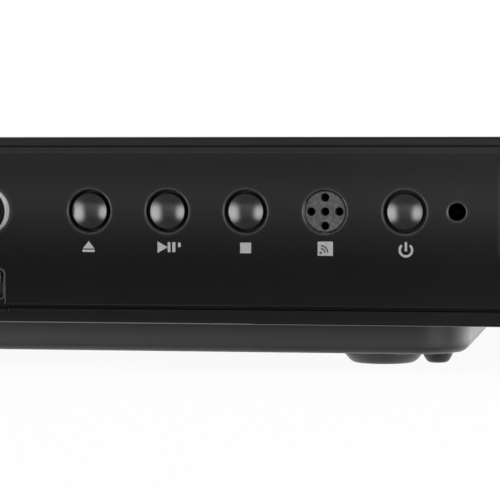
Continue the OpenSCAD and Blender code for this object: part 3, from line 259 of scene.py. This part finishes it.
def moulded(name, dark, light, rough, patch, grain, depth, edge=0.12, coat=0.0, gap_shade=None, edge_highlights=(),
            shine=0.5):
    """Plastic, rubber, print or lacquer: slow patches of tone, a fine grain and soft edges.

    A gap shade gives the reach and the least share of the painted shade that dims colour, gloss and coat
    in narrow gaps.
    Edge highlights give the radius, the tone and the heights of pale edges painted as highlights.
    """
    paint = Paint(name)
    colour = paint.patches(patch, 3, dark, light)
    fine = paint.noise(grain, 2)
    # Painted highlights: a pale tone mixed in along edges and hole rims, standing in for light caught
    # there.
    for radius, tone, heights in edge_highlights:
        highlight_tone = paint.ramp(paint.noise(HIGHLIGHT_PATCH, 3), [(0.25, grey(tone * 0.5)), (0.75, grey(tone))])
        share = paint.times(paint.edges(radius), paint.within(*heights))
        colour = paint.mixed(share, colour, highlight_tone)
    paint.feed("Roughness", paint.spread(paint.noise(patch * 0.4, 4), *rough))
    paint.set(Coat_Weight=coat, Coat_Roughness=rough[0], Specular_IOR_Level=shine)
    # Painted shade: colour, gloss and coat dimmed by occlusion in narrow gaps.
    if gap_shade:
        painted_gap_shade = paint.painted_gap_shade(*gap_shade)
        colour = paint.dimmed(colour, painted_gap_shade)
        paint.feed("Specular IOR Level", paint.spread(painted_gap_shade, 0.0, shine, 0.0, 1.0))
        if coat:
            paint.feed("Coat Weight", paint.spread(painted_gap_shade, 0.0, coat, 0.0, 1.0))
    paint.feed("Base Color", colour)
    if edge:
        paint.soften(edge)
    paint.relief(fine, depth)
    return paint


def metal(name, dark, light, rough, brush, stretch=EVEN, depth=0.001):
    """Bare metal with brush or drawing marks along one direction."""
    paint = Paint(name)
    marks = paint.noise(brush, 3, stretch)
    paint.feed("Base Color", paint.patches(METAL_PATCH, 2, dark, light))
    paint.feed("Roughness", paint.spread(marks, *rough))
    paint.soften(METAL_EDGE)
    paint.relief(marks, depth)
    paint.set(Metallic=1.0)
    return paint


def circuit(name, mask, track, copper):
    """Circuit board: lacquer over tracks, with bright solder points."""
    paint = Paint(name)
    tracks = paint.cells(TRACK_SIZE, "DISTANCE_TO_EDGE")
    points = paint.cells(SOLDER_SIZE)
    lacquer = paint.ramp(tracks, [(0.05, track), (0.09, mask)])
    solder = paint.ramp(points, [(0.1, copper), (0.14, mask)])
    dots = paint.spread(points, 1.0, 0.0, 0.1, 0.14)
    paint.feed("Base Color", paint.mixed(dots, lacquer, solder))
    paint.feed("Roughness", paint.spread(paint.noise(3, 2), 0.25, 0.42))
    paint.relief(tracks, 0.03, 0.6)
    return paint


def side_lit_barrel(name):
    """Plating round the side, painted pale there as a highlight, and black on the face that looks to the
    front as painted shade.
    """
    paint = Paint(name)
    lit_plating = paint.patches(3, 3, grey(0.72), grey(0.82))
    face = paint.patches(3, 3, grey(0.004), grey(0.007))
    # Painted light by facing: pale on the side as a highlight, black on the front face as shade.
    front = paint.spread(paint.facing("Y"), 1, 0, -0.6, -0.4)
    paint.feed("Base Color", paint.mixed(front, lit_plating, face))
    paint.feed("Roughness", paint.spread(paint.noise(0.6, 3), 0.4, 0.5))
    paint.feed("Specular IOR Level", paint.spread(front, 0.5, 0.05, 0, 1))
    return paint


def sleeved_can(name):
    """Blue sleeve with a pale stripe, and a bare lid on top."""
    paint = Paint(name)
    stripes = [(0.78, (0.012, 0.016, 0.06)), (0.84, (0.3, 0.31, 0.34))]
    sleeve = paint.ramp(paint.bands(6, "X", 1.0), stripes)
    lid = paint.patches(1.5, 3, grey(0.42), grey(0.52))
    top = paint.spread(paint.facing("Z"), 0, 1, 0.6, 0.7)
    paint.feed("Base Color", paint.mixed(top, sleeve, lid))
    paint.feed("Roughness", paint.spread(paint.noise(2, 3), 0.24, 0.4))
    paint.soften(0.4)
    return paint


def taped_winding(name):
    paint = Paint(name)
    turns = paint.bands(0.7, "Z", 0.4)
    paint.feed("Base Color", paint.ramp(turns, [(0.2, (0.3, 0.13, 0.012)), (0.8, (0.62, 0.36, 0.05))]))
    paint.feed("Roughness", paint.spread(paint.noise(2, 3), 0.28, 0.42))
    paint.relief(turns, 0.15)
    return paint


def flat_ribbon(name):
    paint = Paint(name)
    wires = paint.bands(1.0, "X")
    paint.feed("Base Color", paint.ramp(wires, [(0.15, grey(0.42)), (0.4, grey(0.72))]))
    paint.feed("Roughness", paint.spread(paint.noise(3, 3), 0.32, 0.48))
    paint.relief(wires, 0.06)
    return paint


def coated_lens(name):
    paint = Paint(name)
    tint = paint.noise(1.2, 1)
    shades = [(NOISE_LOW, (0.05, 0.04, 0.12)), (NOISE_HIGH, (0.1, 0.08, 0.2))]
    paint.feed("Base Color", paint.ramp(tint, shades))
    paint.feed("Roughness", paint.spread(tint, 0.03, 0.08))
    paint.set(Coat_Weight=1.0, Coat_Roughness=0.03)
    return paint


# Materials by slot, with two more for the panel and the collar
CONTROL_ROW = (22, 36)
WHOLE_PANEL = (8, 44)
# Painted highlights on the panel: pale edges all over, and pale rims round the control holes.
PANEL_EDGE_HIGHLIGHTS = [(0.4, 0.055, WHOLE_PANEL), (1.6, 0.045, CONTROL_ROW), (0.45, 0.22, CONTROL_ROW)]
OWN_PAINT = {"front_panel": "gloss_panel", "mic_collar": "barrel_side_lit"}
# The gap entries here and in the calls below paint shade into the panel's grooves, round the buttons and
# in the lamp's hole.
GLOSS = {
    "dark": grey(0.0032),
    "light": grey(0.0042),
    "rough": (0.035, 0.055),
    "patch": 22,
    "grain": 1.6,
    "depth": 0.0005,
    "gap_shade": (1.1, 0.7),
}
INSERT = {"rough": (0.3, 0.4), "patch": 4, "grain": 0.3, "depth": 0.003}
PRINT = {"rough": (0.45, 0.6), "patch": 0.7, "grain": 0.12, "depth": 0.002, "edge": 0}


def make_materials():
    paints = [
        moulded("gloss_black", **GLOSS, edge=0.1),
        moulded("gloss_panel", **GLOSS, edge=0.2, edge_highlights=PANEL_EDGE_HIGHLIGHTS),
        moulded("button_black", grey(0.008), grey(0.012), rough=(0.2, 0.26), patch=4, grain=0.25,
                depth=0.001, edge=0.05, coat=0.8, gap_shade=(1.1, 0.3)),
        moulded("case_black", grey(0.051), grey(0.057), rough=(0.4, 0.45), patch=18, grain=0.35,
                depth=0.002, shine=0.16),
        moulded("foot_grey", grey(0.175), grey(0.195), rough=(0.4, 0.46), patch=8, grain=0.3,
                depth=0.003, shine=0.2),
        moulded("rubber_black", grey(0.018), grey(0.024), rough=(0.36, 0.46), patch=6, grain=0.25,
                depth=0.006, shine=0.25),
        moulded("lamp_smoke", (0.004, 0.003, 0.003), (0.007, 0.005, 0.005), rough=(0.3, 0.4), patch=4,
                grain=0.6, depth=0.001, edge=0.05, gap_shade=(3, 0.1)),
        moulded("socket_black", grey(0.012), grey(0.018), rough=(0.32, 0.44), patch=9, grain=0.3,
                depth=0.004),
        moulded("chip_black", grey(0.016), grey(0.024), rough=(0.45, 0.6), patch=5, grain=0.12,
                depth=0.006),
        moulded("loader_grey", grey(0.035), grey(0.05), rough=(0.42, 0.55), patch=20, grain=0.35,
                depth=0.006),
        moulded("tray_black", grey(0.015), grey(0.019), rough=(0.42, 0.47), patch=26, grain=0.4,
                depth=0.008),
        moulded("acetal_white", (0.62, 0.6, 0.54), (0.72, 0.7, 0.64), rough=(0.3, 0.42), patch=8,
                grain=0.5, depth=0.003),
        moulded("turntable_black", grey(0.014), grey(0.022), rough=(0.5, 0.66), patch=5, grain=0.2,
                depth=0.008),
        moulded("insert_yellow", (0.68, 0.42, 0.02), (0.8, 0.52, 0.03), **INSERT),
        moulded("insert_white", grey(0.7), grey(0.8), **INSERT),
        moulded("insert_red", (0.5, 0.015, 0.012), (0.62, 0.025, 0.02), **INSERT),
        moulded("print_grey", grey(0.33), grey(0.41), **PRINT),
        moulded("print_dark", grey(0.03), grey(0.045), **PRINT),
        moulded("grille_grey", grey(0.028), grey(0.105), rough=(0.62, 0.8), patch=0.5, grain=0.22,
                depth=0.035, edge=0.06),
        moulded("steel_black", grey(0.013), grey(0.016), rough=(0.45, 0.49), patch=40, grain=0.45,
                depth=0.03, edge=0.25, shine=0.18),
        metal("nickel", (0.66, 0.65, 0.62), (0.78, 0.77, 0.74), rough=(0.12, 0.24), brush=0.5),
        metal("steel_dark", grey(0.05), grey(0.07), rough=(0.3, 0.42), brush=0.6, stretch=(1, 6, 1)),
        metal("steel_bright", (0.5, 0.5, 0.5), (0.62, 0.62, 0.61), rough=(0.22, 0.38), brush=1.2,
              stretch=(1, 14, 1)),
        metal("brass_pins", (0.7, 0.5, 0.2), (0.8, 0.6, 0.28), rough=(0.16, 0.3), brush=0.8,
              stretch=(1, 10, 1)),
        metal("deck_grey", (0.17, 0.17, 0.18), (0.24, 0.24, 0.25), rough=(0.36, 0.5), brush=0.6,
              depth=0.004),
        circuit("board_green", (0.012, 0.09, 0.035), (0.03, 0.16, 0.06), (0.55, 0.5, 0.42)),
        circuit("board_tan", (0.30, 0.19, 0.07), (0.38, 0.26, 0.11), (0.6, 0.57, 0.52)),
        side_lit_barrel("barrel_side_lit"),
        sleeved_can("can_blue"),
        taped_winding("winding_amber"),
        flat_ribbon("ribbon_white"),
        coated_lens("lens_glass"),
    ]
    return {paint.name: paint.material for paint in paints}


def dress_nodes(materials):
    for row in frame["record"]["subparts"]:
        target = nodes[row["node"]]
        target.data.materials.clear()
        target.data.materials.append(materials[OWN_PAINT.get(row["node"], row["material_slot"])])


# Printed marks on the panel
INK = 0.03
EJECT_AT = (53.75, 22.43)
PLAY_AT = (68.4, 22.42)
STOP_AT = (82.7, 22.36)
POWER_AT = (111.7, 22.3)
BADGE_AT = (97.19, 22.31)
SIGNAL_AT = (96.36, 21.57)


def prism(mesh, outline, front, back):
    """A closed plate with this outline in X and Z, in millimetres."""
    near = [mesh.verts.new((x * MM, front * MM, z * MM)) for x, z in outline]
    far = [mesh.verts.new((x * MM, back * MM, z * MM)) for x, z in outline]
    mesh.faces.new(near)
    mesh.faces.new(list(reversed(far)))
    for i in range(len(outline)):
        j = (i + 1) % len(outline)
        mesh.faces.new((near[j], near[i], far[i], far[j]))


def mark(name, place, outlines, material, layer=0):
    """Prints outlines, drawn round their own origin, at a place on the panel."""
    mesh = bmesh.new()
    back = PANEL_Y - layer * INK
    for outline in outlines:
        moved = [(place[0] + across, place[1] + up) for across, up in outline]
        prism(mesh, moved, back - INK, back)
    bmesh.ops.recalc_face_normals(mesh, faces=mesh.faces)
    data = bpy.data.meshes.new(name)
    mesh.to_mesh(data)
    mesh.free()
    data.materials.append(material)
    piece = bpy.data.objects.new(name, data)
    bpy.context.scene.collection.objects.link(piece)
    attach(piece, "case")


def bar(x0, x1, z0, z1):
    return [(x0, z0), (x1, z0), (x1, z1), (x0, z1)]


def circle_point(x, z, radius, angle):
    return (x + radius * math.cos(angle), z + radius * math.sin(angle))


def swept(x, z, radius, width, start, end, steps):
    """An arc with this line width, angles in degrees from +X."""
    turns = [math.radians(start + (end - start) * i / steps) for i in range(steps + 1)]
    outer = [circle_point(x, z, radius + width / 2, angle) for angle in turns]
    inner = [circle_point(x, z, radius - width / 2, angle) for angle in turns]
    return outer + inner[::-1]


def disc(x, z, radius, steps=24):
    return [circle_point(x, z, radius, 2 * math.pi * i / steps) for i in range(steps)]


def round_box(width, height, radius, steps=8):
    points = []
    for quarter, (side, up) in enumerate([(1, 1), (-1, 1), (-1, -1), (1, -1)]):
        x = side * (width / 2 - radius)
        z = up * (height / 2 - radius)
        for i in range(steps + 1):
            points.append(circle_point(x, z, radius, math.radians(90 * quarter + 90 * i / steps)))
    return points


def print_marks(materials):
    light = materials["print_grey"]
    dark = materials["print_dark"]
    triangle = [(-1.09, -0.33), (1.09, -0.33), (0, 1.02)]
    mark("mark_eject", EJECT_AT, [triangle, bar(-1.14, 1.1, -0.96, -0.53)], light)
    arrow = [(-1.88, -1.04), (0.01, 0), (-1.88, 1.04)]
    pause = [bar(-0.01, 0.49, -0.9, 0.91), bar(0.85, 1.41, -0.9, 0.91)]
    tick = bar(1.9, 2.39, 0.04, 0.85)
    mark("mark_play", PLAY_AT, [arrow, *pause, tick], light)
    mark("mark_stop", STOP_AT, [bar(-1, 1.01, -0.95, 0.96)], light)
    ring = swept(0, -0.17, 1.11, 0.43, 130, 410, 40)
    mark("mark_power", POWER_AT, [ring, bar(-0.22, 0.23, -0.37, 1.29)], light)
    mark("badge", BADGE_AT, [round_box(2.76, 2.54, 0.12)], light)
    waves = [swept(0, 0, 0.75, 0.26, 0, 90, 16), swept(0, 0, 1.28, 0.26, 0, 90, 20)]
    mark("badge_signal", SIGNAL_AT, [disc(0, 0, 0.24), *waves], dark, layer=1)


# Stage: white floor that keeps a faint shadow, in metres
FLOOR_REACH = 8
FLOOR_COLOUR = (0.93, 0.93, 0.93, 1)
FLOOR_SHADOW = 0.06


def quad(name, corners, material):
    data = bpy.data.meshes.new(name)
    data.from_pydata(corners, [], [(0, 1, 2, 3)])
    sheet = data.uv_layers.new(name="sheet")
    for loop, place in zip(sheet.data, [(0, 0), (1, 0), (1, 1), (0, 1)]):
        loop.uv = place
    data.materials.append(material)
    piece = bpy.data.objects.new(name, data)
    bpy.context.scene.collection.objects.link(piece)
    return piece


def level_corners(xs, ys, height):
    return [(xs[0], ys[0], height), (xs[1], ys[0], height), (xs[1], ys[1], height), (xs[0], ys[1], height)]


def standing_corners(start, end, heights):
    return [(*start, heights[0]), (*end, heights[0]), (*end, heights[1]), (*start, heights[1])]


def floor_material():
    material = bpy.data.materials.new("studio_floor")
    material.use_nodes = True
    tree = material.node_tree
    tree.nodes.clear()
    matte = tree.nodes.new("ShaderNodeBsdfDiffuse")
    matte.inputs["Color"].default_value = FLOOR_COLOUR
    glow = tree.nodes.new("ShaderNodeEmission")
    rays = tree.nodes.new("ShaderNodeLightPath")
    share = tree.nodes.new("ShaderNodeMath")
    share.operation = "MULTIPLY"
    share.inputs[1].default_value = 1 - FLOOR_SHADOW
    mix = tree.nodes.new("ShaderNodeMixShader")
    out = tree.nodes.new("ShaderNodeOutputMaterial")
    tree.links.new(rays.outputs["Is Camera Ray"], share.inputs[0])
    tree.links.new(share.outputs[0], mix.inputs["Fac"])
    tree.links.new(matte.outputs["BSDF"], mix.inputs[1])
    tree.links.new(glow.outputs["Emission"], mix.inputs[2])
    tree.links.new(mix.outputs["Shader"], out.inputs["Surface"])
    return material


def make_floor():
    reach = (-FLOOR_REACH, FLOOR_REACH)
    floor = quad("floor", level_corners(reach, reach, 0), floor_material())
    floor.visible_glossy = False


# Studio cards, seen only in the gloss, in metres. A level of 1 is white
WALL_DISTANCE = 1.55
WALL_X = (-1.5, 0.9)
WALL_LEVELS = [(3, 0.5), (14, 0.22), (20, 0.2), (25, 0.38), (31, 0.75), (38, 0.44), (41, 0.7)]
WALL_LEFT = 0.85
WALL_LEFT_END = -0.11
WALL_RIGHT_START = 0.0
STUDIO_X = (-1.5, 1.2)
STUDIO_Z = (-0.6, 0.9)
STUDIO_BACK = 0.7
CEILING_SPLIT = 0.05
WINDOW_Z = (-0.46, 0.4)
WINDOW = {"heights": WINDOW_Z, "distance": 0.6, "level": 5.5, "soft": 0.48}
GLOW_Z = (-0.5, 0.5)
PIT_Z = -0.62
PIT_GAP = 0.02
UNDER_X = (-0.2, 0.2)
UNDER_SPLIT = 0.079
UNDER_Z = -0.02
UNDER_BACK = 0.15
LIP_FRONT = 0.004
LIP_BACK = 0.003


def glow_tree(name):
    material = bpy.data.materials.new(name)
    material.use_nodes = True
    tree = material.node_tree
    tree.nodes.clear()
    glow = tree.nodes.new("ShaderNodeEmission")
    out = tree.nodes.new("ShaderNodeOutputMaterial")
    tree.links.new(glow.outputs["Emission"], out.inputs["Surface"])
    return material, tree, glow


def stepped(tree, value, start, end, low, high):
    node = tree.nodes.new("ShaderNodeMapRange")
    node.interpolation_type = "SMOOTHSTEP"
    node.inputs["From Min"].default_value = start
    node.inputs["From Max"].default_value = end
    node.inputs["To Min"].default_value = low
    node.inputs["To Max"].default_value = high
    tree.links.new(value, node.inputs["Value"])
    return node.outputs["Result"]


def combined(tree, operation, first, second):
    node = tree.nodes.new("ShaderNodeMath")
    node.operation = operation
    tree.links.new(first, node.inputs[0])
    tree.links.new(second, node.inputs[1])
    return node.outputs[0]


def soft_card(name, level, soft):
    """A clear card with a light in its middle that fades out over this share of its width and height."""
    material, tree, glow = glow_tree(name)
    place = tree.nodes.new("ShaderNodeUVMap")
    parts = tree.nodes.new("ShaderNodeSeparateXYZ")
    tree.links.new(place.outputs["UV"], parts.inputs["Vector"])
    strength = None
    for axis in ("X", "Y"):
        for start, end in ((0, soft), (1, 1 - soft)):
            fade = stepped(tree, parts.outputs[axis], start, end, 0, 1)
            strength = fade if strength is None else combined(tree, "MULTIPLY", strength, fade)
    full = stepped(tree, strength, 0, 1, 0, level)
    tree.links.new(full, glow.inputs["Strength"])
    clear = tree.nodes.new("ShaderNodeBsdfTransparent")
    both = tree.nodes.new("ShaderNodeAddShader")
    out = tree.nodes["Material Output"]
    tree.links.new(glow.outputs["Emission"], both.inputs[0])
    tree.links.new(clear.outputs["BSDF"], both.inputs[1])
    tree.links.new(both.outputs["Shader"], out.inputs["Surface"])
    return material


def plain_card(name, level):
    material, tree, glow = glow_tree(name)
    glow.inputs["Strength"].default_value = level
    return material


def mirrored_height(height):
    """Where the camera sees the wall mirrored in the panel at this height, both in millimetres."""
    return height + (height - VIEW_HEIGHT) * WALL_DISTANCE / MM / VIEW_DEPTH


def wall_card(name):
    """A dim wall with a bright band at one height, a little weaker at the left."""
    material, tree, glow = glow_tree(name)
    place = tree.nodes.new("ShaderNodeNewGeometry")
    parts = tree.nodes.new("ShaderNodeSeparateXYZ")
    tree.links.new(place.outputs["Position"], parts.inputs["Vector"])
    low = mirrored_height(WALL_LEVELS[0][0])
    high = mirrored_height(WALL_LEVELS[-1][0])
    up = tree.nodes.new("ShaderNodeMapRange")
    up.inputs["From Min"].default_value = low * MM
    up.inputs["From Max"].default_value = high * MM
    tree.links.new(parts.outputs["Z"], up.inputs["Value"])
    ramp = tree.nodes.new("ShaderNodeValToRGB")
    elements = ramp.color_ramp.elements
    while len(elements) < len(WALL_LEVELS):
        elements.new(1.0)
    for element, (height, level) in zip(elements, WALL_LEVELS):
        element.position = (mirrored_height(height) - low) / (high - low)
        element.color = (*grey(level), 1)
    tree.links.new(up.outputs["Result"], ramp.inputs["Fac"])
    tree.links.new(ramp.outputs["Color"], glow.inputs["Color"])
    share = stepped(tree, parts.outputs["X"], WALL_LEFT_END, WALL_RIGHT_START, WALL_LEFT, 1)
    tree.links.new(share, glow.inputs["Strength"])
    return material


def card(name, corners, material):
    piece = quad(name, corners, material)
    piece.visible_camera = False
    piece.visible_diffuse = False
    piece.visible_transmission = False
    piece.visible_volume_scatter = False
    piece.visible_shadow = False


def upright(name, azimuths, heights, distance, level, soft=None):
    """A standing card between two azimuths round the controls: 0 is in front, positive to the right."""
    ends = []
    for azimuth in azimuths:
        turn = math.radians(azimuth)
        ends.append((VIEW_X * MM + distance * math.sin(turn), PANEL_Y * MM - distance * math.cos(turn)))
    paper = soft_card(f"{name}_card", level, soft) if soft else plain_card(f"{name}_card", level)
    card(name, standing_corners(*ends, heights), paper)


def level_sheet(name, xs, ys, height, level):
    card(name, level_corners(xs, ys, height), plain_card(f"{name}_card", level))


def make_cards():
    face = PANEL_Y * MM
    wall = face - WALL_DISTANCE
    card("wall", standing_corners((WALL_X[0], wall), (WALL_X[1], wall), STUDIO_Z), wall_card("wall_card"))
    upright("window_left", (-100, -20), **WINDOW)
    upright("window_right", (16, 82), **WINDOW)
    level_sheet("ceiling_front", STUDIO_X, (wall, face - CEILING_SPLIT), STUDIO_Z[1], level=0.25)
    level_sheet("ceiling_back", STUDIO_X, (face - CEILING_SPLIT, STUDIO_BACK), STUDIO_Z[1], level=1.0)
    upright("side_left", (-46, -100), STUDIO_Z, distance=1.2, level=0.3)
    upright("side_right", (28, 72), STUDIO_Z, distance=1.2, level=0.3)
    upright("glow_right", (70, 165), GLOW_Z, distance=0.7, level=5.5, soft=0.5)
    upright("glow_rim", (115, 200), GLOW_Z, distance=0.75, level=1.0, soft=0.45)
    level_sheet("pit", STUDIO_X, (wall, face - PIT_GAP), PIT_Z, level=0.25)
    level_sheet("under", UNDER_X, (face + LIP_BACK, UNDER_BACK), UNDER_Z, level=1.6)
    lip = (face - LIP_FRONT, face + LIP_BACK)
    level_sheet("under_front_left", (UNDER_X[0], UNDER_SPLIT), lip, UNDER_Z, level=1.8)
    level_sheet("under_front_right", (UNDER_SPLIT, UNDER_X[1]), lip, UNDER_Z, level=0.2)


# Lamps and world
LAMP_AIM_Z = 0.03
AMBIENT = 0.3


def lamp(name, location, size, power):
    """A soft lamp that faces the controls and stays out of the gloss."""
    data = bpy.data.lights.new(name, "AREA")
    data.size = size
    data.energy = power
    piece = bpy.data.objects.new(name, data)
    bpy.context.scene.collection.objects.link(piece)
    piece.location = location
    aim = Vector((VIEW_X * MM, PANEL_Y * MM, LAMP_AIM_Z)) - piece.location
    piece.rotation_euler = aim.to_track_quat("-Z", "Y").to_euler()
    piece.visible_glossy = False


def make_lights():
    face = PANEL_Y * MM
    lamp("lamp_left", (-0.4, face - 0.7, 0.4), size=0.6, power=2.6)
    lamp("lamp_right", (0.75, face - 0.4, 0.4), size=0.6, power=2.2)
    lamp("overhead", (0.0, 0.0, 1.6), size=1.6, power=12)


def make_world():
    """White where the camera, the gloss or glass sees it, and a weaker light on the object."""
    world = bpy.data.worlds.new("studio")
    bpy.context.scene.world = world
    world.use_nodes = True
    tree = world.node_tree
    sky = tree.nodes["Background"]
    sky.inputs["Color"].default_value = (*grey(1), 1)
    rays = tree.nodes.new("ShaderNodeLightPath").outputs
    seen = combined(tree, "ADD", rays["Is Camera Ray"], rays["Is Glossy Ray"])
    seen = combined(tree, "ADD", seen, rays["Is Transmission Ray"])
    level = tree.nodes.new("ShaderNodeMapRange")
    level.inputs["To Min"].default_value = AMBIENT
    level.inputs["To Max"].default_value = 1.0
    tree.links.new(seen, level.inputs["Value"])
    tree.links.new(level.outputs["Result"], sky.inputs["Strength"])


make_camera()
materials = make_materials()
dress_nodes(materials)
print_marks(materials)
make_floor()
make_cards()
make_lights()
make_world()
bpy.context.scene.view_settings.view_transform = "Standard"
